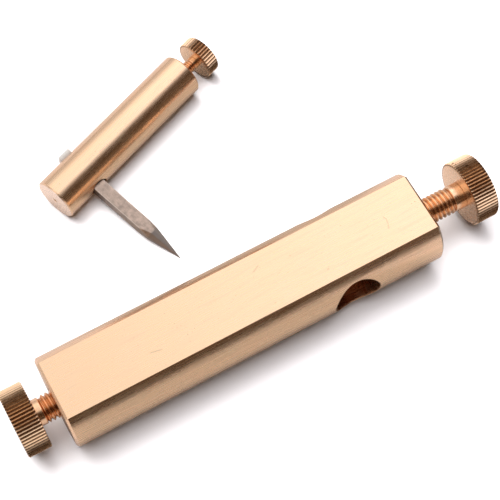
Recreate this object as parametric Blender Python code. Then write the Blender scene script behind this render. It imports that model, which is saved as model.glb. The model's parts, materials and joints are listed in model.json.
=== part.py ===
"""Brass swivel knife in two pieces: a clamp bar, and the blade holder that its cross hole takes.

The bar lies along X with its machined flat on top. The origin is the centre of that flat, +X points
to the clamp screw and +Z out of the flat. The blade holder lies beside the bar on the same bench.
"""
import math

import bmesh
import bpy
from mathutils import Matrix, Vector

MM = 0.001

# Bar
BAR_RADIUS = 10.0 * MM
BAR_LENGTH = 86.0 * MM
FLAT_ABOVE_AXIS = 7.5 * MM
BAR_END_CHAMFER = 0.5 * MM
CROSS_HOLE_RADIUS = 5.3 * MM
CROSS_HOLE_FROM_END = 20.9 * MM
END_BORE_DEPTH = 18.5 * MM
BAR_ARC_STEPS = 63

# Blade holder
HOLDER_RADIUS = 5.0 * MM
HOLDER_LENGTH = 42.0 * MM
HOLDER_CHAMFER = 0.3 * MM
HOLDER_START_X = -22.8 * MM
HOLDER_START_Y = 43.3 * MM
HOLDER_HEADING = math.radians(20.6)
HOLDER_BORE_RADIUS = 1.8 * MM
CENTRE_MARK_RADIUS = 0.6 * MM
CENTRE_MARK_DEPTH = 0.5 * MM

# Blade: square tool steel. Lengths to the shoulder, where its corners start to be ground off, and to
# the start of its taper are counted back from the tip
BLADE_SIDE = 3.0 * MM
BLADE_EDGE = 0.05 * MM
BLADE_REACH = 28.8 * MM
BLADE_TAIL = 5.9 * MM
BLADE_SHOULDER = 10.9 * MM
BLADE_POINT = 8.2 * MM
BLADE_POINT_FACET = 1.1 * MM
BLADE_TIP_SHARE = 0.02
BLADE_FROM_END = 8.9 * MM
BLADE_HOLE_RADIUS = 2.3 * MM
BLADE_TIP_LIFT = 0.12 * MM

# Gaps between neighbouring pieces
GAP = 0.3 * MM
FACE_GAP = 0.1 * MM

# Roundness of turned pieces
BORE_STEPS = 40
ROUND_STEPS = 48

# Thread section: samples along one pitch, and the depth of a thread for its pitch
THREAD_SAMPLES = 4
THREAD_DEPTH_PER_PITCH = 0.58

# M6 knurled screws. Lengths along a screw are counted from the face of the bar, positive outwards
M6 = {
    "radius": 3.0 * MM,
    "pitch": 1.0 * MM,
    "steps": 16,
    "nose_radius": 1.5 * MM,
    "nose_length": 1.6 * MM,
    "collar_radius": 2.9 * MM,
    "spigot_radius": 2.0 * MM,
    "spigot_length": 3.4 * MM,
    "head_radius": 7.3 * MM,
    "head_length": 5.1 * MM,
    "head_chamfer": 0.35 * MM,
    "teeth": 60,
    "tooth_depth": 0.30 * MM,
}
M6_BORE_RADIUS = M6["radius"] + GAP
M6_THREAD_START = -11.7 * MM
PAD_RADIUS = 2.9 * MM
PAD_LENGTH = 3.0 * MM
CLAMP_THREAD_END = 7.6 * MM
CLAMP_COLLAR = 2.6 * MM
END_THREAD_END = 2.8 * MM
END_COLLAR = 1.5 * MM

# M3 knurled screw of the blade holder
M3 = {
    "radius": 1.5 * MM,
    "pitch": 0.5 * MM,
    "steps": 12,
    "nose_radius": 0.9 * MM,
    "nose_length": 0.6 * MM,
    "collar_radius": 1.45 * MM,
    "spigot_radius": 1.0 * MM,
    "spigot_length": 1.8 * MM,
    "head_radius": 4.7 * MM,
    "head_length": 3.0 * MM,
    "head_chamfer": 0.25 * MM,
    "teeth": 38,
    "tooth_depth": 0.28 * MM,
}
M3_THREAD_START = -7.5 * MM
M3_THREAD_END = 2.8 * MM
M3_COLLAR = 1.2 * MM
ROD_RADIUS = 1.4 * MM


def clear_scene():
    for item in list(bpy.data.objects):
        bpy.data.objects.remove(item, do_unlink=True)


def metal(name, colour, roughness, metallic=1.0):
    """A Principled metal with one colour."""
    material = bpy.data.materials.new(name)
    material.use_nodes = True
    shader = material.node_tree.nodes["Principled BSDF"]
    shader.inputs["Base Color"].default_value = (*colour, 1.0)
    shader.inputs["Roughness"].default_value = roughness
    shader.inputs["Metallic"].default_value = metallic
    return material


def add_object(name, bm, material, parent=None):
    """Turns a bmesh into a named object, smooth where its faces meet at a shallow angle."""
    bmesh.ops.recalc_face_normals(bm, faces=bm.faces)
    mesh = bpy.data.meshes.new(name)
    bm.to_mesh(mesh)
    bm.free()
    mesh.materials.append(material)
    mesh.shade_smooth()
    mesh.set_sharp_from_angle(angle=math.radians(35))
    item = bpy.data.objects.new(name, mesh)
    bpy.context.collection.objects.link(item)
    item.parent = parent
    return item


def add_axis(name, point, direction, side=Vector((0, 0, 1)), parent=None):
    """An empty at a point, with local +Z along direction and local +Y near side."""
    z_axis = Vector(direction).normalized()
    x_axis = side.cross(z_axis).normalized()
    y_axis = z_axis.cross(x_axis)
    empty = bpy.data.objects.new(name, None)
    empty.empty_display_size = 0.01
    empty.parent = parent
    basis = Matrix((x_axis, y_axis, z_axis)).transposed().to_4x4()
    empty.matrix_local = Matrix.Translation(point) @ basis
    bpy.context.collection.objects.link(empty)
    return empty


def stack_rings(rings):
    """One closed body: each ring is a loop of points, and the first and last are capped."""
    bm = bmesh.new()
    loops = [[bm.verts.new(point) for point in ring] for ring in rings]
    count = len(loops[0])
    for lower, upper in zip(loops, loops[1:]):
        for i in range(count):
            j = (i + 1) % count
            bm.faces.new((lower[i], lower[j], upper[j], upper[i]))
    bm.faces.new(loops[0])
    bm.faces.new(loops[-1])
    return bm


def ring(radius, z, steps):
    """A level circle of points. radius is a length, or a function of the step number."""
    points = []
    for i in range(steps):
        turn = 2 * math.pi * i / steps
        r = radius(i) if callable(radius) else radius
        points.append((r * math.cos(turn), r * math.sin(turn), z))
    return points


def turned(profile, steps):
    """A turned body from (radius, z) pairs, from one flat end to the other."""
    return stack_rings([ring(radius, z, steps) for radius, z in profile])


def add_cutter(name, bm, target, parent=None):
    """Cuts a bmesh out of the target with a live Boolean."""
    bmesh.ops.recalc_face_normals(bm, faces=bm.faces)
    mesh = bpy.data.meshes.new(name)
    bm.to_mesh(mesh)
    bm.free()
    cutter = bpy.data.objects.new(name, mesh)
    cutter.parent = parent
    cutter.hide_render = True
    cutter.display_type = "WIRE"
    bpy.context.collection.objects.link(cutter)
    cut = target.modifiers.new(name, "BOOLEAN")
    cut.operation = "DIFFERENCE"
    cut.solver = "EXACT"
    cut.object = cutter
    return cutter


def knurled_head(screw):
    """A knurled head with its inner face at z = 0 and a blind hole for the stud's spigot."""
    steps = 2 * screw["teeth"]
    radius = screw["head_radius"]
    chamfer = screw["head_chamfer"]
    length = screw["head_length"]
    hole = screw["spigot_radius"] + GAP
    hole_depth = screw["spigot_length"] + GAP

    def tooth(i):
        return radius - screw["tooth_depth"] * (i % 2)

    face_radius = radius - screw["tooth_depth"] - chamfer
    return stack_rings([
        ring(face_radius, length, steps),
        ring(tooth, length - chamfer, steps),
        ring(tooth, chamfer, steps),
        ring(face_radius, 0.0, steps),
        ring(hole, 0.0, steps),
        ring(hole, hole_depth, steps),
    ])


def threaded_stud(screw, thread_start, thread_end, collar_length):
    """Nose, right-hand thread, plain collar and the spigot that holds the head."""
    steps = screw["steps"]
    pitch = screw["pitch"]
    depth = THREAD_DEPTH_PER_PITCH * pitch
    root = screw["radius"] - depth

    def thread_ring(z):
        inside = min(z - thread_start, thread_end - z) / pitch
        fade = max(0.0, min(1.0, inside))

        def radius(i):
            phase = (z / pitch - i / steps) % 1.0
            crest = 1.0 - abs(2.0 * phase - 1.0)
            return root + depth * crest * fade

        return ring(radius, z, steps)

    rings = [
        ring(screw["nose_radius"], thread_start - screw["nose_length"], steps),
        ring(screw["nose_radius"], thread_start, steps),
    ]
    samples = round((thread_end - thread_start) / pitch * THREAD_SAMPLES)
    for i in range(samples + 1):
        rings.append(thread_ring(thread_start + (thread_end - thread_start) * i / samples))
    collar_end = thread_end + collar_length
    rings.append(ring(screw["collar_radius"], thread_end + 0.1 * pitch, steps))
    rings.append(ring(screw["collar_radius"], collar_end, steps))
    rings.append(ring(screw["spigot_radius"], collar_end, steps))
    rings.append(ring(screw["spigot_radius"], collar_end + screw["spigot_length"], steps))
    return stack_rings(rings)


def swivel_pad():
    """The pad on the stud's nose: it travels with the screw and doesn't turn with it."""
    back = M6_THREAD_START - GAP
    front = back - PAD_LENGTH
    socket = M6["nose_radius"] + GAP
    socket_end = M6_THREAD_START - M6["nose_length"] - GAP
    edge = 0.3 * MM
    return turned([
        (PAD_RADIUS - edge, front),
        (PAD_RADIUS, front + edge),
        (PAD_RADIUS, back),
        (socket, back),
        (socket, socket_end),
    ], ROUND_STEPS)


def bar_blank():
    """The round bar with one flat, chamfered at both ends."""
    half_angle = math.acos(FLAT_ABOVE_AXIS / BAR_RADIUS)
    sweep = 2 * math.pi - 2 * half_angle
    section = []
    for i in range(BAR_ARC_STEPS + 1):
        turn = half_angle + sweep * i / BAR_ARC_STEPS
        y = BAR_RADIUS * math.sin(turn)
        z = BAR_RADIUS * math.cos(turn) - FLAT_ABOVE_AXIS
        section.append((y, z))
    half_length = BAR_LENGTH / 2
    bm = stack_rings([[(x, y, z) for y, z in section] for x in (-half_length, half_length)])
    end_edges = [e for e in bm.edges if e.verts[0].co.x == e.verts[1].co.x]
    bmesh.ops.bevel(bm, geom=end_edges, offset=BAR_END_CHAMFER, segments=1, affect="EDGES")
    return bm


def blade_ring(half, facet, z):
    """A square ring of half-width half. Each side keeps facet either side of its middle."""
    points = []
    for c, s in ((1, 0), (0, 1), (-1, 0), (0, -1)):
        for along in (-facet, facet):
            points.append((c * half - s * along, s * half + c * along, z))
    return points


def square_blade():
    """The blade along +Z from its tail to its point, at z = BLADE_REACH."""
    half = BLADE_SIDE / 2
    full = half - BLADE_EDGE
    facet = BLADE_POINT_FACET / 2
    return stack_rings([
        blade_ring(half, full, -BLADE_TAIL),
        blade_ring(half, full, BLADE_REACH - BLADE_SHOULDER),
        blade_ring(half, facet, BLADE_REACH - BLADE_POINT),
        blade_ring(half * BLADE_TIP_SHARE, facet * BLADE_TIP_SHARE, BLADE_REACH),
    ])


def build_screw(prefix, screw, axis, thread_start, thread_end, collar, materials):
    """The stud on the screw's axis and the knurled head on the stud."""
    stud = threaded_stud(screw, thread_start, thread_end, collar)
    add_object(prefix + "_stud", stud, materials["thread_brass"], axis)
    head = add_object(prefix + "_head", knurled_head(screw), materials["knurl_brass"], axis)
    head.location.z = thread_end + collar + FACE_GAP


def build_clamp_bar(materials):
    bar = add_object("handle_bar", bar_blank(), materials["bar_brass"])
    half_length = BAR_LENGTH / 2
    axis_z = -FLAT_ABOVE_AXIS
    clamp = add_axis("clamp_screw_axis", (half_length, 0, axis_z), (1, 0, 0))
    end = add_axis("end_screw_axis", (-half_length, 0, axis_z), (-1, 0, 0))
    hole_x = half_length - CROSS_HOLE_FROM_END
    across = add_axis("cross_hole_axis", (hole_x, 0, axis_z), (0, 1, 0))

    past_side = BAR_RADIUS + 2 * MM
    hole = turned([(CROSS_HOLE_RADIUS, -past_side), (CROSS_HOLE_RADIUS, past_side)], BORE_STEPS)
    add_cutter("cut_cross_hole", hole, bar, across)
    past_end = 2 * MM
    for name, axis, depth in (
        ("cut_clamp_bore", clamp, CROSS_HOLE_FROM_END),
        ("cut_end_bore", end, END_BORE_DEPTH),
    ):
        bore = turned([(M6_BORE_RADIUS, -depth), (M6_BORE_RADIUS, past_end)], BORE_STEPS)
        add_cutter(name, bore, bar, axis)

    build_screw("clamp_screw", M6, clamp, M6_THREAD_START, CLAMP_THREAD_END, CLAMP_COLLAR, materials)
    build_screw("end_screw", M6, end, M6_THREAD_START, END_THREAD_END, END_COLLAR, materials)
    add_object("clamp_screw_pad", swivel_pad(), materials["bar_brass"], clamp)
    add_object("end_screw_pad", swivel_pad(), materials["bar_brass"], end)


def build_blade_holder(materials):
    floor = -FLAT_ABOVE_AXIS - BAR_RADIUS
    start = Vector((HOLDER_START_X, HOLDER_START_Y, floor + HOLDER_RADIUS))
    heading = Vector((math.cos(HOLDER_HEADING), math.sin(HOLDER_HEADING), 0))
    axis = add_axis("holder_axis", start, heading)
    blank = turned([
        (HOLDER_RADIUS - HOLDER_CHAMFER, 0),
        (HOLDER_RADIUS, HOLDER_CHAMFER),
        (HOLDER_RADIUS, HOLDER_LENGTH - HOLDER_CHAMFER),
        (HOLDER_RADIUS - HOLDER_CHAMFER, HOLDER_LENGTH),
    ], ROUND_STEPS)
    holder = add_object("blade_holder", blank, materials["holder_brass"], axis)

    droop = math.asin((HOLDER_RADIUS - BLADE_TIP_LIFT) / BLADE_REACH)
    outward = Vector((math.sin(HOLDER_HEADING), -math.cos(HOLDER_HEADING), 0))
    reach = outward * math.cos(droop) - Vector((0, 0, 1)) * math.sin(droop)
    centre = start + heading * BLADE_FROM_END
    blade_axis = add_axis("blade_axis", centre, reach, side=heading)
    add_object("blade", square_blade(), materials["tool_steel"], blade_axis)

    past_side = HOLDER_RADIUS + 2 * MM
    hole = turned([(BLADE_HOLE_RADIUS, -past_side), (BLADE_HOLE_RADIUS, past_side)], BORE_STEPS)
    add_cutter("cut_blade_hole", hole, holder, blade_axis)
    past_end = 2 * MM
    bore = turned([
        (HOLDER_BORE_RADIUS, BLADE_FROM_END),
        (HOLDER_BORE_RADIUS, HOLDER_LENGTH + past_end),
    ], BORE_STEPS)
    add_cutter("cut_holder_bore", bore, holder, axis)
    lead = 0.1 * MM
    wide = CENTRE_MARK_RADIUS * (CENTRE_MARK_DEPTH + lead) / CENTRE_MARK_DEPTH
    mark = turned([(wide, -lead), (0.02 * MM, CENTRE_MARK_DEPTH)], BORE_STEPS)
    add_cutter("cut_centre_mark", mark, holder, axis)

    end = start + heading * HOLDER_LENGTH
    screw_axis = add_axis("holder_screw_axis", end, heading)
    build_screw("holder_screw", M3, screw_axis, M3_THREAD_START, M3_THREAD_END, M3_COLLAR, materials)
    rod_back = M3_THREAD_START - M3["nose_length"] - GAP
    rod_front = BLADE_FROM_END + BLADE_SIDE / 2 + GAP - HOLDER_LENGTH
    rod = turned([(ROD_RADIUS, rod_front), (ROD_RADIUS, rod_back)], ROUND_STEPS // 2)
    add_object("push_rod", rod, materials["tool_steel"], screw_axis)


def main():
    clear_scene()
    materials = {
        "bar_brass": metal("bar_brass", (0.87, 0.70, 0.42), 0.28),
        "holder_brass": metal("holder_brass", (0.84, 0.62, 0.38), 0.24),
        "knurl_brass": metal("knurl_brass", (0.86, 0.64, 0.44), 0.30),
        "thread_brass": metal("thread_brass", (0.84, 0.50, 0.24), 0.25),
        "tool_steel": metal("tool_steel", (0.52, 0.47, 0.42), 0.42),
    }
    build_clamp_bar(materials)
    build_blade_holder(materials)
    bpy.context.view_layer.update()


main()
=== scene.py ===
"""The looks of the brass swivel knife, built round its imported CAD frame.

Each piece is shaped in millimetres in a frame of its own, and place() puts it into the row frame
in metres. The same millimetre coordinates stay on the mesh as the attribute "local", which the
materials read, so a pattern sits on its piece at every pose.
"""
import json
import math

import bmesh
import bpy
from mathutils import Matrix, Vector


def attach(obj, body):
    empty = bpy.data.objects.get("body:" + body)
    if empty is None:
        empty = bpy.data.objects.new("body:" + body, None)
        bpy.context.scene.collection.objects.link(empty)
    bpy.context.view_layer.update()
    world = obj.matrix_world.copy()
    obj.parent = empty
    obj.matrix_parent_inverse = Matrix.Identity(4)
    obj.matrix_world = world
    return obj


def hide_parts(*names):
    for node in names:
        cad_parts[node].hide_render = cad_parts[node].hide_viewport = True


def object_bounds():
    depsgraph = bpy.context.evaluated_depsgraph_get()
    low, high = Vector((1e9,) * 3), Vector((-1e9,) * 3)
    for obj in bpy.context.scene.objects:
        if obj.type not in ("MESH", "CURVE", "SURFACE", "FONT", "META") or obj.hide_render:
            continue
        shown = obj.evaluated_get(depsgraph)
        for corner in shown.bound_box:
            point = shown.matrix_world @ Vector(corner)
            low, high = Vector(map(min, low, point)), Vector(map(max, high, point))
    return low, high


MM = 0.001
UP = Vector((0, 0, 1))

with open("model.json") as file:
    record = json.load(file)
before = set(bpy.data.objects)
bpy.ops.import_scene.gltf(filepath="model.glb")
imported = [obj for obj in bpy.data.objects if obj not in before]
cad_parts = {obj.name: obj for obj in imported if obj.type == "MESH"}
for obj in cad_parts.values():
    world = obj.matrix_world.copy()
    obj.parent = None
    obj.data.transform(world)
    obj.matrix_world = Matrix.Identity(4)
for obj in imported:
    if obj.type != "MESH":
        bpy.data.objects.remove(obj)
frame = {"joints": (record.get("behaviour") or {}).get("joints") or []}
cad_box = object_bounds()

# Clamp bar. Every size here is in millimetres
BAR_RADIUS = 10.0
BAR_LENGTH = 86.0
FLAT_HEIGHT = 7.5
BAR_CHAMFER = 0.5
FLAT_EDGE_ROUND = 0.12
HOLE_X = 22.1
HOLE_RADIUS = 5.3
HOLE_EDGE = 0.22
BORE_RADIUS = 3.25
BORE_SINK = 0.45
END_BORE_DEPTH = 18.3
DRILL_CONE = 0.55 * BORE_RADIUS
DRILL_TIP = 0.05

# Blade holder
HOLDER_RADIUS = 5.0
HOLDER_LENGTH = 42.0
HOLDER_CHAMFER = 0.3
BLADE_FROM_END = 8.9
BLADE_HOLE_RADIUS = 2.3
BLADE_HOLE_EDGE = 0.12
ROD_BORE_RADIUS = 1.75
ROD_BORE_SINK = 0.25
CENTRE_MARK_RADIUS = 0.6
CENTRE_MARK_DEPTH = 0.5
CENTRE_MARK_EDGE = (0.04, 0.03)
CENTRE_MARK_TIP = 0.03

# Blade. Its lengths to the shoulder and to the taper are counted back from the tip
BLADE_HALF = 1.5
BLADE_EDGE = 0.09
BLADE_REACH = 28.8
BLADE_TAIL = 5.9
BLADE_TAIL_CHAMFER = 0.12
BLADE_SHOULDER = 10.9
BLADE_POINT = 8.2
BLADE_POINT_FACET = 0.55
BLADE_TIP_SHARE = 0.02
BLADE_CORNER_CUT = 0.035

# Knurled screws, with lengths counted outwards from the face that they enter
M6 = {
    "radius": 2.97,
    "pitch": 1.0,
    "depth": 0.54,
    "nose_radius": 1.5,
    "nose_length": 1.6,
    "thread_start": -11.7,
    "collar_radius": 2.9,
    "spigot_radius": 2.0,
    "spigot_length": 3.4,
    "head_radius": 7.3,
    "head_length": 5.17,
    "head_chamfer": 0.24,
    "teeth": 60,
    "tooth_depth": 0.42,
}
CLAMP_SCREW = dict(M6, thread_end=7.6, collar=2.6)
END_SCREW = dict(M6, thread_end=2.8, collar=1.5)
HOLDER_SCREW = {
    "radius": 1.49,
    "pitch": 0.5,
    "depth": 0.30,
    "nose_radius": 0.9,
    "nose_length": 0.6,
    "thread_start": -7.5,
    "thread_end": 2.8,
    "collar": 1.2,
    "collar_radius": 1.45,
    "spigot_radius": 1.0,
    "spigot_length": 1.8,
    "head_radius": 4.68,
    "head_length": 3.07,
    "head_chamfer": 0.2,
    "teeth": 38,
    "tooth_depth": 0.36,
}
HEAD_OFF_COLLAR = 0.02
PAD_RADIUS = 2.9
PAD_LENGTH = 3.0
ROD_RADIUS = 1.4
GAP = 0.3

# Mesh fineness. A window is the stretch of a bar's skin, counted both ways from the middle of its
# cross hole, that is meshed to meet the hole; rows go before, within and after it
TURNED_STEPS = 96
THREAD_STEPS = 72
ROWS_PER_PITCH = 16
STEPS_PER_TOOTH = 8
BAR_WINDOW = {"length": 7.0, "degrees": 44, "steps": 20, "rows": (60, 36, 14)}
BAR_UNDER_STEPS = 24
BAR_FLAT_STEPS = 22
HOLDER_WINDOW = {"length": 3.1, "degrees": 38, "steps": 14, "rows": (10, 26, 40)}
WALL_ROWS = (4, 16, 4)

# Where the bore along a bar opens in its cross hole: the degrees of the hole's wall, both ways,
# that its window takes, and where its first ring lies past the hole
BAR_BORE = {"degrees": 52, "past_hole": 0.8, "rows": 4}
HOLDER_BORE = {"degrees": 68, "past_hole": 0.5, "rows": 5}

# Shares of the way from a window's square outline to its round rim
PULLS = (0.3, 0.58, 0.8, 0.93, 0.985, 1.0)
# Shares of the way round the broken edge of a cross hole
EDGE_SHARES = (0.34, 0.67, 1.0)
# Strip beside a rounding that keeps a flat's shading flat, and the stub at the middle of an end
HOLD = 0.03
TIP = 0.02


# ---------------------------------------------------------------- places

def joint(name):
    return next(j for j in frame["joints"] if j["name"] == name)


def axis_frame(point, direction, side=UP):
    """A frame in metres at a point, with +Z along direction and +Y near side."""
    z_axis = Vector(direction).normalized()
    x_axis = side.cross(z_axis).normalized()
    y_axis = z_axis.cross(x_axis)
    basis = Matrix((x_axis, y_axis, z_axis)).transposed().to_4x4()
    return Matrix.Translation(Vector(point)) @ basis


def screw_frame(name):
    turn = joint(name)
    return axis_frame(turn["pos_m"], turn["axis"])


CLAMP_FRAME = screw_frame("clamp_screw_turn")
END_FRAME = screw_frame("end_screw_turn")
HOLDER_SCREW_FRAME = screw_frame("holder_screw_turn")
BAR_FRAME = Matrix.Translation((CLAMP_FRAME.translation + END_FRAME.translation) / 2)
HEADING = Vector(joint("holder_screw_turn")["axis"]).normalized()
HOLDER_FRAME = axis_frame(HOLDER_SCREW_FRAME.translation - HEADING * HOLDER_LENGTH * MM, HEADING)
BLADE_DIRECTION = Vector(joint("blade_slide")["axis"]).normalized()
BLADE_FRAME = axis_frame(
    HOLDER_FRAME.translation + HEADING * BLADE_FROM_END * MM, BLADE_DIRECTION, side=HEADING
)
BLADE_DROOP = math.asin(-BLADE_DIRECTION.z)
FLOOR_Z = cad_box[0].z


# ---------------------------------------------------------------- shapes

class Shape:
    """The points and faces of one closed piece, in millimetres."""

    def __init__(self):
        self.points = []
        self.faces = []
        self.end_faces = []

    def add(self, points):
        first = len(self.points)
        self.points += [Vector(p) for p in points]
        return list(range(first, len(self.points)))

    def band(self, lower, upper):
        """Joins two closed loops of as many points by a band of four-sided faces."""
        for i in range(len(lower)):
            j = (i + 1) % len(lower)
            self.faces.append((lower[i], lower[j], upper[j], upper[i]))

    def extend(self, loop, rings):
        """Carries a loop on through rings of as many points, and returns the last loop."""
        for points in rings:
            further = self.add(points)
            self.band(loop, further)
            loop = further
        return loop

    def cap(self, loop):
        self.faces.append(tuple(loop))

    def solid(self, rings):
        """A closed solid through rings of as many points, capped at both ends."""
        first = self.add(rings[0])
        last = self.extend(first, rings[1:])
        self.cap(first)
        self.cap(last)
        return self

    def end_face(self, outer, inner):
        """The flat face between two loops, which may have different numbers of points."""
        self.end_faces.append((outer, inner))


def place(name, shape, where, body, node, material, sharp=35):
    """Makes the mesh in the row frame, puts it on its body and lets it stand for its CAD node."""
    bm = bmesh.new()
    layer = bm.verts.layers.float_vector.new("local")
    verts = []
    for point in shape.points:
        vert = bm.verts.new(where @ (point * MM))
        vert[layer] = point
        verts.append(vert)
    for face in shape.faces:
        bm.faces.new([verts[i] for i in face])
    for loops in shape.end_faces:
        edges = []
        for loop in loops:
            for a, b in zip(loop, loop[1:] + loop[:1]):
                edges.append(bm.edges.get((verts[a], verts[b])))
        bmesh.ops.triangle_fill(bm, edges=edges, use_beauty=True)
    bmesh.ops.recalc_face_normals(bm, faces=bm.faces)
    mesh = bpy.data.meshes.new(name)
    bm.to_mesh(mesh)
    bm.free()
    mesh.materials.append(material)
    mesh.shade_smooth()
    mesh.set_sharp_from_angle(angle=math.radians(sharp))
    piece = bpy.data.objects.new(name, mesh)
    bpy.context.scene.collection.objects.link(piece)
    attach(piece, body)
    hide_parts(node)


def spread(start, end, count):
    """count + 1 evenly spaced values."""
    return [start + (end - start) * i / count for i in range(count + 1)]


def curve(start, corner, end, t):
    """The point at share t of the curve that rounds a corner over."""
    return start * (1 - t) ** 2 + corner * 2 * t * (1 - t) + end * t ** 2


def ring(radius, z, steps):
    """A circle of points round the local z axis. radius is a length or a function of the step."""
    points = []
    for i in range(steps):
        turn = 2 * math.pi * i / steps
        r = radius(i) if callable(radius) else radius
        points.append((r * math.cos(turn), r * math.sin(turn), z))
    return points


def rounded(corners):
    """A profile of (radius, z) from corners (radius, z, cut), each rounded over its cut length."""
    profile = []
    for k, (radius, z, cut) in enumerate(corners):
        here = Vector((radius, z))
        if cut == 0:
            profile.append(here)
            continue
        before = (Vector(corners[k - 1][:2]) - here).normalized()
        after = (Vector(corners[k + 1][:2]) - here).normalized()
        profile.append(here + before * (cut + HOLD))
        for t in spread(0, 1, 3):
            profile.append(curve(here + before * cut, here, here + after * cut, t))
        profile.append(here + after * (cut + HOLD))
    return profile


def turned(corners):
    """A turned solid from rounded corners, from the middle of one end to that of the other."""
    return Shape().solid([ring(radius, z, TURNED_STEPS) for radius, z in rounded(corners)])


# ---------------------------------------------------------------- drilled bars

def skin_rows(start, middle, reach, end, counts):
    """Rows from start to end, and the numbers of those at the window's limits, middle +- reach."""
    before, within, after = counts
    rows = spread(start, middle - reach, before)
    rows += spread(middle - reach, middle + reach, within)[1:]
    rows += spread(middle + reach, end, after)[1:]
    return rows, before, before + within


def skin(shape, surface, us, vs, windows):
    """A closed tube of points surface(u, v) with round windows.

    A window is (first u, last u, first v, last v, turn, rim): four numbers of grid lines, the
    function that gives the direction of a point (u, v) from the window's middle, and the one that
    gives the point (u, v) on its edge in a direction. Returns the grid of points, and for each
    window its rim, which gives the point in each direction."""
    def covers(window, i, j, inside):
        a, b, c, d = window[:4]
        return a + inside <= i < b and c + inside <= j < d

    grid = {}
    for i, u in enumerate(us):
        for j, v in enumerate(vs):
            if not any(covers(window, i, j, 1) for window in windows):
                grid[i, j] = shape.add([surface(u, v)])[0]
    for i in range(len(us)):
        n = (i + 1) % len(us)
        for j in range(len(vs) - 1):
            if not any(covers(window, i, j, 0) for window in windows):
                shape.faces.append((grid[i, j], grid[n, j], grid[n, j + 1], grid[i, j + 1]))
    rims = []
    for a, b, c, d, turn, rim in windows:
        outline = [(i, c) for i in range(a, b)]
        outline += [(b, j) for j in range(c, d)]
        outline += [(i, d) for i in range(b, a, -1)]
        outline += [(a, j) for j in range(d, c, -1)]
        directions = [turn(us[i], vs[j]) for i, j in outline]
        rings = []
        for pull in PULLS:
            points = []
            for (i, j), direction in zip(outline, directions):
                u, v = rim(direction)
                points.append(surface(us[i] + (u - us[i]) * pull, vs[j] + (v - vs[j]) * pull))
            rings.append(points)
        loop = shape.extend([grid[spot] for spot in outline], rings)
        rims.append(dict(zip(directions, loop)))
    return grid, rims


def in_order(rim):
    """A rim's points in the order of their directions."""
    return [rim[direction] for direction in sorted(rim)]


def match_rims(rims):
    """Gives the second rim exactly the directions of the first."""
    rims[1] = dict(zip(sorted(rims[0]), in_order(rims[1])))


def cross_hole(shape, rims, centre, along, across, radius, skin_radius, edge, bore, bore_degrees):
    """The wall of a hole through a round bar, and the rim where the bore along the bar opens in it.

    rims are the two windows in the bar's skin, the first where the hole's axis comes out."""
    axis = across.cross(along)
    turns = sorted(rims[0])

    def wall(turn, depth, r=radius):
        return centre + along * (r * math.cos(turn)) + across * (r * math.sin(turn)) + axis * depth

    def skin_depth(turn, r):
        return math.sqrt(skin_radius ** 2 - (r * math.sin(turn)) ** 2)

    def bore_turn(turn, depth):
        return math.atan2(radius * math.sin(turn), depth)

    def bore_rim(direction):
        return math.asin(bore * math.sin(direction) / radius), bore * math.cos(direction)

    below_edge = 0.1
    bore_margin = 0.3 + 0.25 * (radius - bore)
    deepest = math.sqrt(skin_radius ** 2 - radius ** 2) - edge - below_edge
    bore_reach = bore + bore_margin
    depths, first, last = skin_rows(-deepest, 0, bore_reach, deepest, WALL_ROWS)
    limit = math.radians(bore_degrees)
    columns = [i for i, turn in enumerate(turns) if abs(turn) <= limit]
    window = (columns[0], columns[-1], first, last, bore_turn, bore_rim)
    grid, (bore_opening,) = skin(shape, wall, turns, depths, [window])
    for side, rim, row in ((1, rims[0], len(depths) - 1), (-1, rims[1], 0)):
        rings = []
        for t in EDGE_SHARES:
            points = []
            for turn in turns:
                outer = wall(turn, side * skin_depth(turn, radius + edge), radius + edge)
                corner = wall(turn, side * skin_depth(turn, radius))
                inner = wall(turn, side * (skin_depth(turn, radius) - edge))
                points.append(curve(outer, corner, inner, t))
            rings.append(points)
        loop = shape.extend(in_order(rim), rings)
        shape.band(loop, [grid[i, row] for i in range(len(turns))])
    return bore_opening


def end_bore(shape, opening, face, along, across, start, end, rows, radius, sink):
    """The bore from its opening in the cross hole to the end face, where it is countersunk."""
    out = across.cross(along)
    profile = [(x, radius) for x in spread(start, end - sink, rows)] + [(end, radius + sink)]
    rings = []
    for x, r in profile:
        rings.append([
            along * x + out * (r * math.cos(turn)) + across * (r * math.sin(turn))
            for turn in sorted(opening)
        ])
    shape.end_face(face, shape.extend(in_order(opening), rings))


def bar_section(inset):
    """The bar's outline (y, z) round its axis, with its flat on top, all of it moved in by inset.

    Returns it with the angles of its round part, which come first in it."""
    radius = BAR_RADIUS - inset
    flat = FLAT_HEIGHT - inset
    fillet = FLAT_EDGE_ROUND
    hold = 0.04
    middle = math.sqrt((radius - fillet) ** 2 - (flat - fillet) ** 2)
    start = math.atan2(middle, flat - fillet)
    reach = BAR_WINDOW["degrees"]
    window_steps = 2 * BAR_WINDOW["steps"]
    degrees = spread(90 - reach, 90 + reach, window_steps)
    degrees += spread(90 + reach, 270 - reach, BAR_UNDER_STEPS)[1:]
    degrees += spread(270 - reach, 270 + reach, window_steps)[1:]
    arc = [math.radians(a) for a in degrees]
    side = spread(start, arc[0], 3)[:-1]
    angles = side + arc + [2 * math.pi - a for a in reversed(side)]
    outline = [(radius * math.sin(a), radius * math.cos(a)) for a in angles]
    rounding = []
    for t in spread(0, start, 4)[:-1]:
        rounding.append((middle + fillet * math.sin(t), flat - fillet + fillet * math.cos(t)))
    across = [(y, flat) for y in spread(-middle + hold, middle - hold, BAR_FLAT_STEPS)]
    outline += [(-y, z) for y, z in reversed(rounding)] + across + rounding
    return outline, angles


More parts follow.
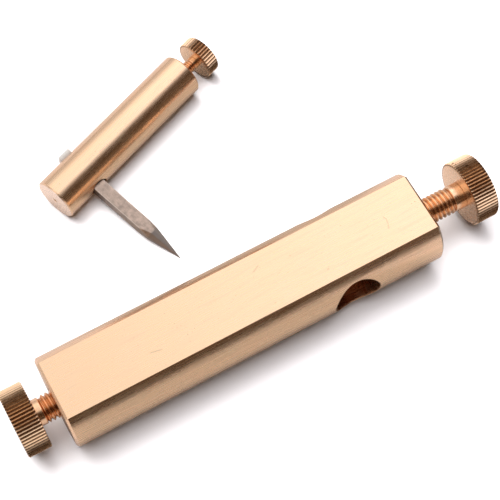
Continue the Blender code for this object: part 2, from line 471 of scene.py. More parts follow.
def blind_end(shape, face, section):
    """The blind tapped bore in the bar's left end, from its end face to the drill's cone."""
    start = -BAR_LENGTH / 2
    bottom = start + END_BORE_DEPTH
    rings = []
    for x, radius in (
        (start, BORE_RADIUS + BORE_SINK),
        (start + BORE_SINK, BORE_RADIUS),
        (bottom, BORE_RADIUS),
        (bottom + DRILL_CONE, DRILL_TIP),
    ):
        turns = [math.atan2(y, z) for y, z in section]
        rings.append([(x, radius * math.sin(turn), radius * math.cos(turn)) for turn in turns])
    shape.cap(shape.extend(face, rings))


def handle_bar():
    """The bar: flat on top, chamfered ends, cross hole and a screw bore in each end."""
    shape = Shape()
    half = BAR_LENGTH / 2
    steps = BAR_WINDOW["steps"]
    outline, angles = bar_section(0)
    rows, first, last = skin_rows(
        -half + BAR_CHAMFER, HOLE_X, BAR_WINDOW["length"], half - BAR_CHAMFER, BAR_WINDOW["rows"]
    )

    def surface(u, x):
        number = int(u)
        if u == number:
            y, z = outline[number]
        else:
            angle = angles[number] + (angles[number + 1] - angles[number]) * (u - number)
            y, z = BAR_RADIUS * math.sin(angle), BAR_RADIUS * math.cos(angle)
        return (x, y, z)

    def window(middle_degrees, facing):
        middle = math.radians(middle_degrees)
        near = min(range(len(angles)), key=lambda i: abs(angles[i] - middle))
        step = angles[near + 1] - angles[near]

        def turn(u, x):
            height = BAR_RADIUS * math.sin((u - near) * step) * facing
            return math.atan2(round(height, 9), round(x - HOLE_X, 9))

        def rim(direction):
            height = (HOLE_RADIUS + HOLE_EDGE) * math.sin(direction)
            u = near + facing * math.asin(height / BAR_RADIUS) / step
            return u, HOLE_X + (HOLE_RADIUS + HOLE_EDGE) * math.cos(direction)

        return near - steps, near + steps, first, last, turn, rim

    windows = [window(90, -1), window(270, 1)]
    grid, rims = skin(shape, surface, range(len(outline)), rows, windows)
    match_rims(rims)
    along, across = Vector((1, 0, 0)), Vector((0, 0, 1))
    opening = cross_hole(
        shape, rims, along * HOLE_X, along, across,
        HOLE_RADIUS, BAR_RADIUS, HOLE_EDGE, BORE_RADIUS, BAR_BORE["degrees"],
    )
    section = bar_section(BAR_CHAMFER)[0]
    faces = []
    for x, row in ((-half, 0), (half, len(rows) - 1)):
        edge = [grid[i, row] for i in range(len(outline))]
        faces.append(shape.extend(edge, [[(x, y, z) for y, z in section]]))
    left, right = faces
    blind_end(shape, left, section)
    end_bore(
        shape, opening, right, along, across,
        HOLE_X + HOLE_RADIUS + BAR_BORE["past_hole"], half, BAR_BORE["rows"],
        BORE_RADIUS, BORE_SINK,
    )
    return shape


def blade_holder():
    """The round holder: centre mark, blade hole and a bore for the rod and the screw."""
    shape = Shape()
    rows, first, last = skin_rows(
        HOLDER_CHAMFER, BLADE_FROM_END, HOLDER_WINDOW["length"], HOLDER_LENGTH - HOLDER_CHAMFER,
        HOLDER_WINDOW["rows"],
    )
    reach = math.radians(HOLDER_WINDOW["degrees"])
    steps = HOLDER_WINDOW["steps"]
    half_turn = [BLADE_DROOP + a for a in spread(-reach, reach, 2 * steps)]
    half_turn += [BLADE_DROOP + a for a in spread(reach, math.pi - reach, 2 * steps)[1:-1]]
    us = half_turn + [a + math.pi for a in half_turn]

    def circle(radius, z):
        return [(radius * math.cos(u), radius * math.sin(u), z) for u in us]

    def surface(u, z):
        return (HOLDER_RADIUS * math.cos(u), HOLDER_RADIUS * math.sin(u), z)

    def window(number, facing):
        middle = us[number + steps]

        def turn(u, z):
            height = HOLDER_RADIUS * math.sin(u - middle) * facing
            return math.atan2(round(height, 9), round(z - BLADE_FROM_END, 9))

        def rim(direction):
            height = (BLADE_HOLE_RADIUS + BLADE_HOLE_EDGE) * math.sin(direction)
            z = BLADE_FROM_END + (BLADE_HOLE_RADIUS + BLADE_HOLE_EDGE) * math.cos(direction)
            return middle + facing * math.asin(height / HOLDER_RADIUS), z

        return number, number + 2 * steps, first, last, turn, rim

    # The hole's axis comes out of the first window
    out = Vector((math.cos(BLADE_DROOP), math.sin(BLADE_DROOP), 0))
    along = Vector((0, 0, 1))
    across = along.cross(out)
    windows = [window(0, 1), window(len(half_turn), -1)]
    grid, rims = skin(shape, surface, us, rows, windows)
    match_rims(rims)
    opening = cross_hole(
        shape, rims, along * BLADE_FROM_END, along, across,
        BLADE_HOLE_RADIUS, HOLDER_RADIUS, BLADE_HOLE_EDGE, ROD_BORE_RADIUS, HOLDER_BORE["degrees"],
    )
    face_radius = HOLDER_RADIUS - HOLDER_CHAMFER
    mark_wider, mark_lower = CENTRE_MARK_EDGE
    marked = shape.extend([grid[i, 0] for i in range(len(us))], [
        circle(face_radius, 0),
        circle(CENTRE_MARK_RADIUS + mark_wider, 0),
        circle(CENTRE_MARK_RADIUS, mark_lower),
        circle(CENTRE_MARK_TIP, CENTRE_MARK_DEPTH),
    ])
    shape.cap(marked)
    edge = [grid[i, len(rows) - 1] for i in range(len(us))]
    face = shape.extend(edge, [circle(face_radius, HOLDER_LENGTH)])
    end_bore(
        shape, opening, face, along, across,
        BLADE_FROM_END + BLADE_HOLE_RADIUS + HOLDER_BORE["past_hole"], HOLDER_LENGTH,
        HOLDER_BORE["rows"], ROD_BORE_RADIUS, ROD_BORE_SINK,
    )
    return shape


# ---------------------------------------------------------------- screws

def knurled_head(screw):
    """A head with straight V knurling, turned chamfers, and the blind hole for the spigot."""
    steps = screw["teeth"] * STEPS_PER_TOOTH
    crest_share = 0.1
    radius = screw["head_radius"]
    chamfer = screw["head_chamfer"]
    inner = screw["thread_end"] + screw["collar"] + HEAD_OFF_COLLAR
    outer = inner + screw["head_length"]
    hole = screw["spigot_radius"] + 0.1
    hole_end = inner + screw["spigot_length"] + GAP
    rim = radius - chamfer

    def tooth(i):
        side = abs((i % STEPS_PER_TOOTH) / STEPS_PER_TOOTH - 0.5) * 2
        return radius - screw["tooth_depth"] * min(1.0, (1 - side) / (1 - crest_share))

    def knurl(z):
        cone = rim + min(z - inner, outer - z)
        return lambda i: min(tooth(i), cone)

    # From a flat face over its broken edge to a chamfer through the teeth, and on along the knurl
    edge = 0.05
    broken_across, broken_down = 0.06, 0.02
    face_ring = rim - 1.2
    chamfer_rows, knurl_rows = 7, 20
    rows = spread(outer - edge, outer - chamfer, chamfer_rows)
    rows += spread(outer - chamfer, inner + chamfer, knurl_rows)[1:]
    rows += spread(inner + chamfer, inner + edge, chamfer_rows)[1:]
    profile = [(hole * 0.5, outer), (face_ring, outer)]
    profile += [(rim - broken_across, outer), (rim, outer - broken_down)]
    profile += [(knurl(z), z) for z in rows]
    profile += [(rim, inner + broken_down), (rim - broken_across, inner), (face_ring, inner)]
    profile += [(hole + edge, inner), (hole, inner + edge), (hole, hole_end)]
    return Shape().solid([ring(r, z, steps) for r, z in profile])


def threaded_stud(screw):
    """Nose, right-hand thread, collar, and the spigot inside the head."""
    pitch = screw["pitch"]
    depth = screw["depth"]
    start = screw["thread_start"]
    end = screw["thread_end"]
    root = screw["radius"] - depth
    collar_end = end + screw["collar"]
    spigot_end = collar_end + screw["spigot_length"]
    cut = 0.06 * screw["collar_radius"]

    def crest(phase):
        """0 at the root and 1 on the crest of a 60 degree thread with narrow flats on both."""
        root_flat, flank = 0.12, 0.72
        height = 1.0 - abs(2.0 * phase - 1.0)
        return min(1.0, max(0.0, (height - root_flat) / flank))

    def thread(z):
        """The thread's radius at each step. It runs in over a pitch and out over a third."""
        entry = max(0.0, min(1.0, (z - start) / pitch))
        leave = max(0.0, min(1.0, (end - z) / (0.35 * pitch)))
        return lambda i: root + depth * crest((z / pitch - i / THREAD_STEPS) % 1.0) * entry * leave

    nose = rounded([
        (TIP, start - screw["nose_length"], 0),
        (screw["nose_radius"], start - screw["nose_length"], 0.15),
        (screw["nose_radius"], start, 0),
    ])
    tail = rounded([
        (root, end, 0),
        (screw["collar_radius"], end + 0.15 * pitch, cut),
        (screw["collar_radius"], collar_end, cut * 0.4),
        (screw["spigot_radius"], collar_end, 0.02),
        (screw["spigot_radius"], spigot_end, 0.05),
        (TIP, spigot_end, 0),
    ])
    rows = spread(start, end, round((end - start) / pitch * ROWS_PER_PITCH))
    profile = [(r, z) for r, z in nose] + [(thread(z), z) for z in rows]
    profile += [(r, z) for r, z in tail[1:]]
    return Shape().solid([ring(r, z, THREAD_STEPS) for r, z in profile])


def swivel_pad(screw):
    """The pad on a stud's nose, with the socket that the nose turns in."""
    back = screw["thread_start"] - GAP
    front = back - PAD_LENGTH
    socket = screw["nose_radius"] + GAP
    socket_end = screw["thread_start"] - screw["nose_length"] - GAP
    return turned([
        (TIP, front, 0),
        (PAD_RADIUS, front, 0.3),
        (PAD_RADIUS, back, 0.12),
        (socket, back, 0.05),
        (socket, socket_end, 0.05),
        (TIP, socket_end, 0),
    ])


def push_rod():
    """The rod between the holder's screw and the blade."""
    back = HOLDER_SCREW["thread_start"] - HOLDER_SCREW["nose_length"] - GAP
    front = BLADE_FROM_END + BLADE_HALF + GAP - HOLDER_LENGTH
    return turned([
        (TIP, front, 0),
        (ROD_RADIUS, front, 0.2),
        (ROD_RADIUS, back, 0.2),
        (TIP, back, 0),
    ])


# ---------------------------------------------------------------- blade

def blade_section(half, facet, z):
    """An eight-sided outline, each of its corners cut once more."""
    corners = []
    for c, s in ((1, 0), (0, 1), (-1, 0), (0, -1)):
        for along in (-facet, facet):
            corners.append(Vector((c * half - s * along, s * half + c * along, z)))
    points = []
    for k, corner in enumerate(corners):
        for other in (corners[k - 1], corners[(k + 1) % 8]):
            length = (other - corner).length
            points.append(corner + (other - corner) / length * min(BLADE_CORNER_CUT, 0.3 * length))
    return points


def square_blade():
    """The square blade along z. Its corners are ground away from the shoulder to the point."""
    half = BLADE_HALF
    full = half - BLADE_EDGE
    cut = BLADE_TAIL_CHAMFER
    shoulder = BLADE_REACH - BLADE_SHOULDER
    point = BLADE_REACH - BLADE_POINT
    shank_rows, facet_rows, taper_rows = 24, 6, 16
    stations = [(half - cut, full - cut, -BLADE_TAIL), (half, full, cut - BLADE_TAIL)]
    stations += [(half, full, z) for z in spread(cut - BLADE_TAIL, shoulder, shank_rows)[1:]]
    for t in spread(0, 1, facet_rows)[1:]:
        facet = full + (BLADE_POINT_FACET - full) * t
        stations.append((half, facet, shoulder + (point - shoulder) * t))
    for t in spread(0, 1, taper_rows)[1:]:
        share = 1 + (BLADE_TIP_SHARE - 1) * t
        z = point + (BLADE_REACH - point) * t
        stations.append((half * share, BLADE_POINT_FACET * share, z))
    return Shape().solid([blade_section(*station) for station in stations])


# ---------------------------------------------------------------- material nodes

class Tree:
    """Short calls for building a node tree."""

    def __init__(self, owner):
        owner.use_nodes = True
        self.tree = owner.node_tree
        self.tree.nodes.clear()

    def node(self, kind, inputs=None, **settings):
        made = self.tree.nodes.new(kind)
        for key, value in settings.items():
            setattr(made, key, value)
        for key, value in (inputs or {}).items():
            if isinstance(value, bpy.types.NodeSocket):
                self.tree.links.new(value, made.inputs[key])
            else:
                made.inputs[key].default_value = value
        return made

    def math(self, operation, a, b=0.0):
        return self.node("ShaderNodeMath", {0: a, 1: b}, operation=operation).outputs[0]

    def vector(self, operation, a, b=None):
        """A vector's sum or product with another. LENGTH and DOT_PRODUCT give a number."""
        inputs = {0: a} if b is None else {0: a, 1: b}
        made = self.node("ShaderNodeVectorMath", inputs, operation=operation)
        return made.outputs["Value" if operation in ("LENGTH", "DOT_PRODUCT") else "Vector"]

    def local(self, scale=(1, 1, 1)):
        """The piece's own millimetre coordinates, scaled for stretched patterns."""
        read = self.node("ShaderNodeAttribute", attribute_name="local").outputs["Vector"]
        return read if scale == (1, 1, 1) else self.vector("MULTIPLY", read, scale)

    def part(self, vector, axis):
        """One coordinate of a vector, as a number."""
        return self.node("ShaderNodeSeparateXYZ", {0: vector}).outputs[axis]

    def noise(self, vector, scale, detail, roughness):
        inputs = {"Vector": vector, "Scale": scale, "Detail": detail, "Roughness": roughness}
        return self.node("ShaderNodeTexNoise", inputs).outputs["Fac"]

    def span(self, value, low, high, to_low=0.0, to_high=1.0):
        """Value carried from low..high to to_low..to_high, and held past both ends."""
        inputs = {
            "Value": value, "From Min": low, "From Max": high, "To Min": to_low, "To Max": to_high,
        }
        return self.node("ShaderNodeMapRange", inputs).outputs["Result"]

    def mix(self, factor, a, b, blend="MIX"):
        """Two colours mixed. The node's sockets 0, 6, 7 and 2 are the ones for colours."""
        made = self.node("ShaderNodeMix", data_type="RGBA", blend_type=blend)
        for key, value in ((0, factor), (6, a), (7, b)):
            if isinstance(value, bpy.types.NodeSocket):
                self.tree.links.new(value, made.inputs[key])
            else:
                made.inputs[key].default_value = value if key == 0 else (*value, 1.0)
        return made.outputs[2]

    def distance(self, centre, keep):
        """Millimetres from a line through centre; keep is 0 along the line's direction, else 1."""
        moved = self.vector("SUBTRACT", self.local(), centre)
        return self.vector("LENGTH", self.vector("MULTIPLY", moved, keep))

    def mark(self, centre, *sides):
        """1 inside a soft-edged box about centre; each side is (direction, length)."""
        moved = self.vector("SUBTRACT", self.local(), centre)
        mask = 1.0
        for direction, size in sides:
            off = self.math("ABSOLUTE", self.vector("DOT_PRODUCT", moved, direction))
            mask = self.math("MULTIPLY", mask, self.span(off, size / 3, size / 2, 1.0, 0.0))
        return mask


# ---------------------------------------------------------------- stains

# Marks on the flat: middle (x, y), direction (x, y) and length. The first three are one scratch
FLAT_MARKS = (
    ((33.9, 0.45), (0.4, -0.92), 1.0),
    ((33.95, -0.5), (0.2, 0.98), 1.3),
    ((33.6, -1.6), (0.37, 0.93), 1.3),
    ((17.9, -3.8), (1, 0), 0.6),
    ((5.0, 3.4), (0.9, 0.44), 2.2),
    ((-21.0, -2.5), (0.98, -0.2), 3.0),
)
FLAT_MARK_WIDTH = 0.34

# Nicks in the clamp screw's knurl: degrees round it, distance past the collar, width and length
KNURL_NICKS = ((44, 0.8, 0.7, 0.6), (51, 1.0, 0.6, 0.6), (70, 2.6, 0.7, 2.0))
NICK_RISE, NICK_RUN = 0.35, 0.94

# Sizes of the marks' and nicks' masks across the surface that they lie in
MARK_DEPTH = 1.0
NICK_DEPTH = 2.0


def in_grooves(crest, depth):
    """Stain in the grooves of a part turned round its z axis, up to about half their depth.

    It starts just below the root, so of an end face only the rim takes it."""
    root = crest - depth
    top = root + 0.55 * depth
    fade = 0.12 * depth

    def mask(tree):
        radius = tree.distance((0, 0, 0), (1, 1, 0))
        below = tree.span(radius, top - fade, top, 1.0, 0.0)
        return tree.math("MULTIPLY", below, tree.span(radius, root - 0.06, root - 0.03))
    return mask


def in_knurl_nicks(tree):
    collar_end = CLAMP_SCREW["thread_end"] + CLAMP_SCREW["collar"]
    found = 0.0
    for degrees, depth, width, length in KNURL_NICKS:
        turn = math.radians(degrees)
        outwards = Vector((math.cos(turn), math.sin(turn), 0))
        sideways = UP.cross(outwards)
        centre = outwards * CLAMP_SCREW["head_radius"] + UP * (collar_end + depth)
        slope = UP * NICK_RISE + sideways * NICK_RUN
        across = UP * NICK_RUN - sideways * NICK_RISE
        nick = tree.mark(centre, (slope, length), (across, width), (outwards, NICK_DEPTH))
        found = tree.math("MAXIMUM", found, nick)
    return found


def in_flat_marks(tree):
    found = 0.0
    for (x, y), (along_x, along_y), length in FLAT_MARKS:
        along, across = (along_x, along_y, 0), (-along_y, along_x, 0)
        sides = (along, length), (across, FLAT_MARK_WIDTH), (UP, MARK_DEPTH)
        found = tree.math("MAXIMUM", found, tree.mark((x, y, FLAT_HEIGHT), *sides))
    return found


# Painted shade: the wall of the bar's cross hole and the inner part of its edge, darkened reddish
# brown
def cross_hole_painted_shade(tree):
    from_axis = tree.distance((HOLE_X, 0, 0), (1, 0, 1))
    return tree.span(from_axis, HOLE_RADIUS, HOLE_RADIUS + 0.08, 1.0, 0.0)


def right_edge_painted_shade(tree):
    """Painted shade on the chamfer of the bar's right end, without the end face."""
    x = tree.part(tree.local(), "X")
    end = BAR_LENGTH / 2
    chamfer = end - BAR_CHAMFER
    inwards = tree.span(x, chamfer - 0.05, chamfer + 0.1)
    return tree.math("MULTIPLY", inwards, tree.span(x, end - 0.02, end - 0.06))


# Painted light: the holder's end face, made lighter for the light that it catches
def holder_end_painted_light(tree):
    return tree.span(tree.part(tree.local(), "Z"), 0.1, 0.02)


def in_centre_mark(tree):
    from_middle = tree.distance((0, 0, 0), (1, 1, 1))
    return tree.span(from_middle, CENTRE_MARK_RADIUS, CENTRE_MARK_RADIUS * 0.7)


def on_blade_tail(tree):
    """The last millimetre of the blade behind the holder."""
    return tree.span(tree.part(tree.local(), "Z"), 1.3 - BLADE_TAIL, 0.3 - BLADE_TAIL)


def on_blade_point(tree):
    point = BLADE_REACH - BLADE_POINT
    return tree.span(tree.part(tree.local(), "Z"), point - 0.4, point + 0.1)


def on_blade_corners(tree):
    x, y = (tree.math("ABSOLUTE", tree.part(tree.local(), axis)) for axis in "XY")
    return tree.span(tree.math("MINIMUM", x, y), BLADE_HALF - 0.2, BLADE_HALF - 0.1)


# ---------------------------------------------------------------- materials

BRASS = (0.93, 0.60, 0.38)
BRASS_GREY = (0.79, 0.60, 0.41)
BRASS_DEEP = (0.92, 0.52, 0.28)
# Painted light: a lighter brass for the holder's end face
BRASS_PAINTED_LIGHT = (1.0, 0.76, 0.58)
TARNISH = (0.26, 0.13, 0.06)
COPPERY = (0.55, 0.24, 0.09)
# Painted shade for the inside of the bar's cross hole
HOLE_PAINTED_SHADE = (0.42, 0.20, 0.10)
SCRATCHED = (0.50, 0.40, 0.26)
# Painted shade: a dark line along the chamfer of the bar's right end
EDGE_PAINTED_SHADE = (0.17, 0.125, 0.075)
STEEL_BROWN = (0.54, 0.405, 0.325)
STEEL_DARK = (0.30, 0.235, 0.195)
STEEL_GROUND = (0.29, 0.25, 0.225)
STEEL_CORNER = (0.78, 0.66, 0.57)
STEEL_BRIGHT = (0.75, 0.72, 0.66)
ROD_STEEL = (0.55, 0.54, 0.52)
ROD_STEEL_DARK = (0.45, 0.44, 0.43)

# The metal's pattern: the stretch of a noise that shows, how strongly, and the shade it takes
BLOTCH_RANGE = (0.35, 0.7)
STREAK_RANGE = (0.5, 0.75)
STREAK_TONE = 0.35
STREAK_SHADE = 0.86
PIT_SCALE = 2.6
PIT_RANGE = (0.74, 0.8)
PIT_TONE = 0.5
PIT_SHADE = 0.35
# Heights of the fine grain and of the pits for the grain's own
FINE_HEIGHT = 0.6
PIT_HEIGHT = 0.8


def metal_material(
    name, base, worn, grain, grain_scale, roughness, grain_depth,
    blotch=0.5, blotch_scale=0.22, stains=(),
):
    """Metal with blotches of a second tint, stretched grain that also roughens it, and small pits.

    grain stretches the pattern, as a scale for each of the piece's own directions, and grain_depth
    is in millimetres. stains are (mask, colour, strength); mask is a function that adds its nodes
    to the tree."""
    material = bpy.data.materials.new(name)
    tree = Tree(material)
    blotches = tree.noise(tree.local(), blotch_scale, detail=4.0, roughness=0.6)
    streaks = tree.noise(tree.local(grain), grain_scale, detail=3.0, roughness=0.65)
    fine = tree.noise(tree.local(grain), grain_scale * 4.0, detail=2.0, roughness=0.6)
    pits = tree.span(tree.noise(tree.local(), PIT_SCALE, detail=1.0, roughness=0.5), *PIT_RANGE)

    tone = tree.math("MULTIPLY", tree.span(blotches, *BLOTCH_RANGE), blotch)
    colour = tree.mix(tone, base, worn)
    tone = tree.math("MULTIPLY", tree.span(streaks, *STREAK_RANGE), STREAK_TONE)
    colour = tree.mix(tone, colour, tuple(STREAK_SHADE * c for c in worn))
    tone = tree.math("MULTIPLY", pits, PIT_TONE)
    colour = tree.mix(tone, colour, tuple(PIT_SHADE * c for c in base))
    for mask, tint, strength in stains:
        colour = tree.mix(tree.math("MULTIPLY", mask(tree), strength), colour, tint)

    height = tree.math("ADD", streaks, tree.math("MULTIPLY", fine, FINE_HEIGHT))
    height = tree.math("SUBTRACT", height, tree.math("MULTIPLY", pits, PIT_HEIGHT))
    bump = tree.node(
        "ShaderNodeBump", {"Height": height, "Distance": grain_depth * MM, "Strength": 1.0}
    )
    shader = tree.node("ShaderNodeBsdfPrincipled", {
        "Base Color": colour,
        "Roughness": tree.span(streaks, 0.3, 0.7, roughness - 0.05, roughness + 0.08),
        "Normal": bump.outputs["Normal"],
        "Metallic": 1.0,
    })
    tree.node("ShaderNodeOutputMaterial", {"Surface": shader.outputs[0]})
    return material


def bar_brass():
    """Drawn along the bar."""
    return metal_material(
        "bar_brass", BRASS, BRASS_GREY,
        grain=(0.06, 1, 1), grain_scale=1.6, roughness=0.26, grain_depth=0.010, blotch=0.35,
        stains=(
            (in_flat_marks, SCRATCHED, 0.55),
            # painted shade inside the cross hole
            (cross_hole_painted_shade, HOLE_PAINTED_SHADE, 0.75),
            # painted shade along the chamfer of the right end
            (right_edge_painted_shade, EDGE_PAINTED_SHADE, 0.95),
        ),
    )


def holder_brass():
    return metal_material(
        "holder_brass", BRASS, BRASS_GREY,
        grain=(1, 1, 0.08), grain_scale=1.6, roughness=0.24, grain_depth=0.004, blotch=0.4,
        # The end face takes painted light; the centre mark takes tarnish
        stains=((holder_end_painted_light, BRASS_PAINTED_LIGHT, 0.9), (in_centre_mark, TARNISH, 0.9)),
    )


def thread_brass(name, screw):
    return metal_material(
        name, BRASS, BRASS_DEEP,
        grain=(0.5, 0.5, 3), grain_scale=2.0, roughness=0.20, grain_depth=0.004,
        stains=((in_grooves(screw["radius"], screw["depth"]), COPPERY, 0.6),),
    )


def knurl_brass(name, screw, strength, further=()):
    """Brass with tarnish between the teeth, as strong as strength, and any further stains."""
    grooves = in_grooves(screw["head_radius"], screw["tooth_depth"])
    return metal_material(
        name, BRASS, BRASS_GREY,
        grain=(1, 1, 0.3), grain_scale=2.2, roughness=0.26, grain_depth=0.008,
        stains=((grooves, TARNISH, strength), *further),
    )


def pad_brass():
    return metal_material(
        "pad_brass", BRASS, BRASS_GREY,
        grain=(1, 1, 1), grain_scale=2.2, roughness=0.28, grain_depth=0.006,
    )


def tool_steel():
    return metal_material(
        "tool_steel", STEEL_BROWN, STEEL_DARK,
        grain=(3, 3, 0.5), grain_scale=1.2, roughness=0.38, grain_depth=0.014,
        blotch=0.9, blotch_scale=1.0,
        stains=(
            (on_blade_point, STEEL_GROUND, 0.85),
            (on_blade_corners, STEEL_CORNER, 0.75),
            (on_blade_tail, STEEL_BRIGHT, 0.8),
        ),
    )


def rod_steel():
    return metal_material(
        "rod_steel", ROD_STEEL, ROD_STEEL_DARK,
        grain=(1, 1, 0.1), grain_scale=2.0, roughness=0.3, grain_depth=0.006,
    )


# ---------------------------------------------------------------- studio

CAMERA_TARGET = Vector((9.70, 14.29, -17.5)) * MM
CAMERA_AZIMUTH = math.radians(-29.01)
CAMERA_ELEVATION = math.radians(66.48)
CAMERA_DISTANCE = 0.310
CAMERA_LENS = 102.13

# Suns behind the object: name, elevation, strength, apparent size in degrees, colour
FAR_SIDE = Vector((-0.276, 0.961, 0))
LIGHTS = (
    ("soft_key", 62, 2.4, 44, (1.0, 1.0, 1.0)),
    ("top_fill", 84, 3.6, 54, (1.0, 0.965, 0.985)),
)

# Floor as the camera sees it, and as the metal mirrors it under the bar and past its ends. The
# lighter floor past the ends and towards the far corner is painted light, seen only in the metal.
# The two fades are in millimetres along FAR_CORNER and along the bar
FLOOR_SIZE = 3.0
FLOOR_SEEN = (0.93, 0.925, 0.93)
FLOOR_IN_METAL = (0.335, 0.33, 0.315)
FLOOR_PAINTED_LIGHT_PAST_ENDS = (0.50, 0.49, 0.50)
FAR_CORNER = (-0.6, 0.8, 0)
FAR_CORNER_FADE = (32, 48)
BAR_END_FADE = (41, 49)

# Surroundings that the metal mirrors, by degrees over the object from the far side to the near
# one, and what they are multiplied by from the left to the right
SKY_ARCH = (
    (0, (0.41, 0.395, 0.40)), (17, (0.56, 0.55, 0.57)), (28, (0.69, 0.69, 0.71)),
    (36, (0.90, 0.90, 0.91)), (46, (1.0, 1.0, 1.0)), (65, (0.92, 0.92, 0.93)),
    (73, (0.80, 0.80, 0.80)), (98, (0.80, 0.80, 0.80)), (106, (0.35, 0.36, 0.37)),
    (116, (0.058, 0.042, 0.032)), (140, (0.032, 0.020, 0.010)), (158, (0.088, 0.064, 0.044)),
    (170, (0.030, 0.020, 0.012)), (180, (0.03, 0.022, 0.015)),
)
SKY_LEFT = (1.22, 1.22, 1.20)
SKY_RIGHT = (2.0, 2.02, 2.15)
SKY_RIGHT_FROM = 0.36


def floor_material():
    material = bpy.data.materials.new("floor")
    tree = Tree(material)
    seen = tree.node("ShaderNodeLightPath").outputs["Is Camera Ray"]
    spot = tree.node("ShaderNodeTexCoord").outputs["Object"]
    towards_corner = tree.vector("DOT_PRODUCT", spot, FAR_CORNER)
    along_bar = tree.math("ABSOLUTE", tree.part(spot, "X"))
    # Painted light: the mirrored floor is lighter past the bar's ends and towards the far corner
    painted_light_past_ends = tree.math(
        "MAXIMUM",
        tree.span(towards_corner, *(mm * MM for mm in FAR_CORNER_FADE)),
        tree.span(along_bar, *(mm * MM for mm in BAR_END_FADE)),
    )
    mirrored = tree.mix(painted_light_past_ends, FLOOR_IN_METAL, FLOOR_PAINTED_LIGHT_PAST_ENDS)
    shader = tree.node("ShaderNodeBsdfDiffuse", {"Color": tree.mix(seen, mirrored, FLOOR_SEEN)})
    tree.node("ShaderNodeOutputMaterial", {"Surface": shader.outputs[0]})
    return material


def floor():
    mesh = bpy.data.meshes.new("floor")
    corners = [(x * FLOOR_SIZE, y * FLOOR_SIZE, 0) for x, y in ((-1, -1), (1, -1), (1, 1), (-1, 1))]
    mesh.from_pydata(corners, [], [(0, 1, 2, 3)])
    mesh.materials.append(floor_material())
    plane = bpy.data.objects.new("floor", mesh)
    plane.location.z = FLOOR_Z - 0.01 * MM
    bpy.context.scene.collection.objects.link(plane)


def lights():
    """Two broad suns for the floor and its shadows. The metal mirrors the surroundings instead."""
    for name, degrees, strength, size, colour in LIGHTS:
        light = bpy.data.lights.new(name, "SUN")
        light.energy = strength
        light.angle = math.radians(size)
        light.color = colour
        lamp = bpy.data.objects.new(name, light)
        elevation = math.radians(degrees)
        back = FAR_SIDE.normalized() * math.cos(elevation) + UP * math.sin(elevation)
        lamp.rotation_mode = "QUATERNION"
        lamp.rotation_quaternion = back.to_track_quat("Z", "Y")
        lamp.visible_glossy = False
        lamp.visible_camera = False
        bpy.context.scene.collection.objects.link(lamp)


def surroundings():
    """White to the camera, and the arch of soft light and dark room to the metal."""
    world = bpy.data.worlds.new("studio")
    bpy.context.scene.world = world
    tree = Tree(world)
    direction = tree.node("ShaderNodeTexCoord").outputs["Generated"]
    far = tree.vector("DOT_PRODUCT", direction, FAR_SIDE)
    over = tree.math("ARCTAN2", tree.part(direction, "Z"), far)
    ramp = tree.node("ShaderNodeValToRGB", {0: tree.math("DIVIDE", over, math.pi)})
    elements = ramp.color_ramp.elements
    while len(elements) < len(SKY_ARCH):
        elements.new(0.5)
    for element, (degrees, colour) in zip(elements, SKY_ARCH):
        element.position = degrees / 180
        element.color = (*colour, 1.0)
    strength = tree.mix(
        tree.span(tree.part(direction, "X"), 0.0, SKY_RIGHT_FROM), SKY_LEFT, SKY_RIGHT
    )
    mirrored = tree.mix(1.0, ramp.outputs["Color"], strength, blend="MULTIPLY")
    seen = tree.node("ShaderNodeLightPath").outputs["Is Camera Ray"]
    background = tree.node(
        "ShaderNodeBackground", {"Color": tree.mix(seen, mirrored, (1.0, 1.0, 1.0))}
    )
    tree.node("ShaderNodeOutputWorld", {"Surface": background.outputs[0]})
    world.cycles_visibility.diffuse = False


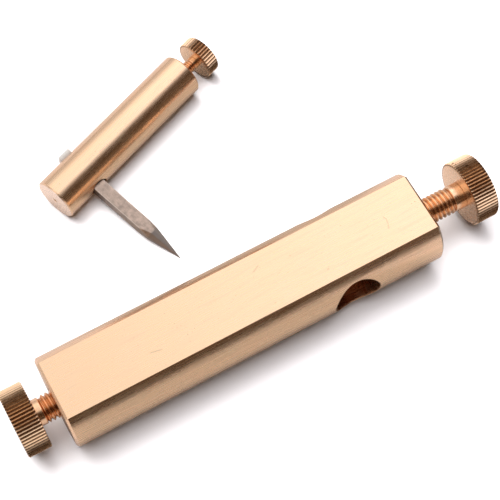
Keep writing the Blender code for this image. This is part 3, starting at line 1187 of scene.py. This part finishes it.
def camera():
    data = bpy.data.cameras.new("camera")
    data.lens = CAMERA_LENS
    data.sensor_width = 36.0
    data.clip_start = 0.01
    data.clip_end = 20.0
    item = bpy.data.objects.new("camera", data)
    back = Vector((
        math.sin(CAMERA_AZIMUTH) * math.cos(CAMERA_ELEVATION),
        -math.cos(CAMERA_AZIMUTH) * math.cos(CAMERA_ELEVATION),
        math.sin(CAMERA_ELEVATION),
    ))
    item.location = CAMERA_TARGET + back * CAMERA_DISTANCE
    item.rotation_mode = "QUATERNION"
    item.rotation_quaternion = (-back).to_track_quat("-Z", "Y")
    bpy.context.scene.collection.objects.link(item)
    bpy.context.scene.camera = item


# ---------------------------------------------------------------- the knife

def clamp_bar():
    """The bar, and at each end a screw and the pad on its nose."""
    thread = thread_brass("thread_brass", M6)
    knurl = knurl_brass("knurl_brass", M6, 0.95, further=((in_knurl_nicks, TARNISH, 0.85),))
    pad = pad_brass()
    place(
        "handle_bar_body", handle_bar(), BAR_FRAME, "bar",
        "handle_bar", bar_brass(),
    )
    for prefix, screw, where, body in (
        ("clamp_screw", CLAMP_SCREW, CLAMP_FRAME, "clamp"),
        ("end_screw", END_SCREW, END_FRAME, "end"),
    ):
        place(
            prefix + "_thread", threaded_stud(screw), where, body + "_screw",
            prefix + "_stud", thread, sharp=60,
        )
        place(
            prefix + "_knob", knurled_head(screw), where, body + "_screw",
            prefix + "_head", knurl,
        )
        place(
            prefix + "_swivel_pad", swivel_pad(screw), where, body + "_pad",
            prefix + "_pad", pad,
        )


def holder_with_blade():
    """The holder, its screw, and the rod that pushes on the blade."""
    place(
        "blade_holder_body", blade_holder(), HOLDER_FRAME, "holder",
        "blade_holder", holder_brass(),
    )
    place(
        "holder_screw_thread", threaded_stud(HOLDER_SCREW), HOLDER_SCREW_FRAME, "holder_screw",
        "holder_screw_stud", thread_brass("thin_thread_brass", HOLDER_SCREW),
        sharp=60,
    )
    place(
        "holder_screw_knob", knurled_head(HOLDER_SCREW), HOLDER_SCREW_FRAME, "holder_screw",
        "holder_screw_head", knurl_brass("thin_knurl_brass", HOLDER_SCREW, 0.8),
    )
    place(
        "push_rod_steel", push_rod(), HOLDER_SCREW_FRAME, "rod",
        "push_rod", rod_steel(),
    )
    place(
        "blade_steel", square_blade(), BLADE_FRAME, "cutter",
        "blade", tool_steel(), sharp=6,
    )


camera()
clamp_bar()
holder_with_blade()
floor()
lights()
surroundings()
view = bpy.context.scene.view_settings
view.view_transform = "Standard"
view.look = "None"
